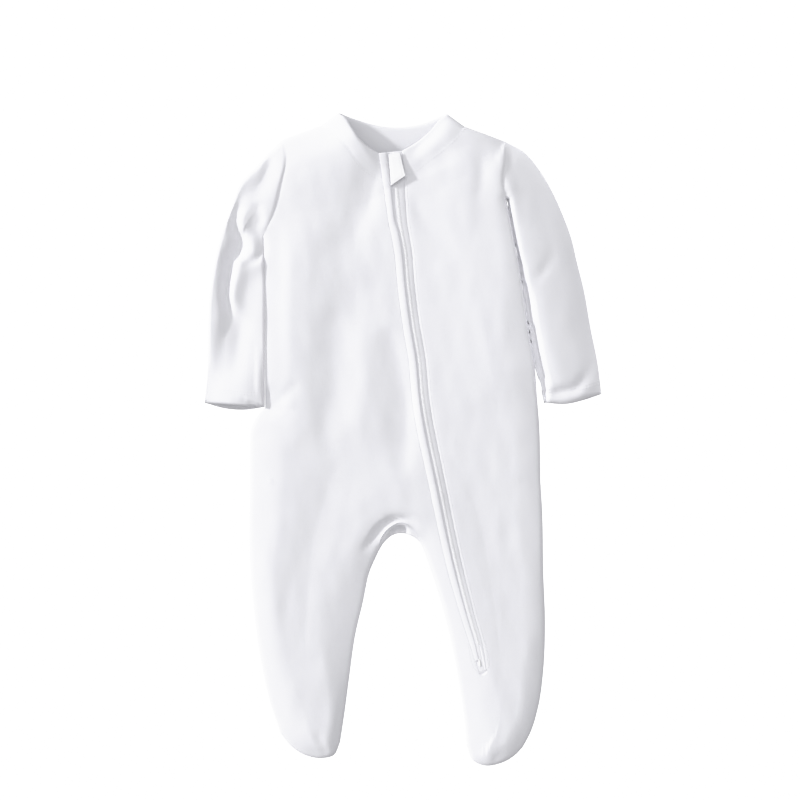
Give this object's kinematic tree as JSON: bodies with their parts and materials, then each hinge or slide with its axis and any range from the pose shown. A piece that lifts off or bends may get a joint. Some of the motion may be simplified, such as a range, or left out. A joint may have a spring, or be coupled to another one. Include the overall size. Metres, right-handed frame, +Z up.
{
  "type": "footed baby sleepsuit",
  "caption": "Footed baby sleepsuit in plain white cotton, long sleeves, round neckband and a slanting zip under a cloth tab, laid flat.",
  "frame": {"origin": "on the surface that the garment lies on, in the middle of its length and width", "axes": "+Y points to the neck, -Y to the toes, +X to the wearer's left, +Z up out of the front"},
  "size_m": [0.341, 0.5601, 0.0154],
  "materials": {
    "interlock": "fine matte cotton interlock knit",
    "neckband": "doubled cotton knit",
    "placket": "folded cotton knit",
    "garage": "smooth doubled cotton",
    "tape": "woven polyester tape",
    "coil": "polyester coil",
    "slider": "white enamel",
    "stop": "smooth moulded"
  },
  "bodies": {
    "root": {"front": "interlock", "back": "interlock", "sleeve_right": "interlock", "sleeve_left": "interlock", "neckband": "neckband", "gusset": "interlock", "zip_placket": "placket", "zip_garage": "garage", "zip_tape_right": "tape", "zip_tape_left": "tape", "zip_coil": "coil", "zip_slider": "slider", "zip_stop": "stop"}
  },
  "joints": []
}
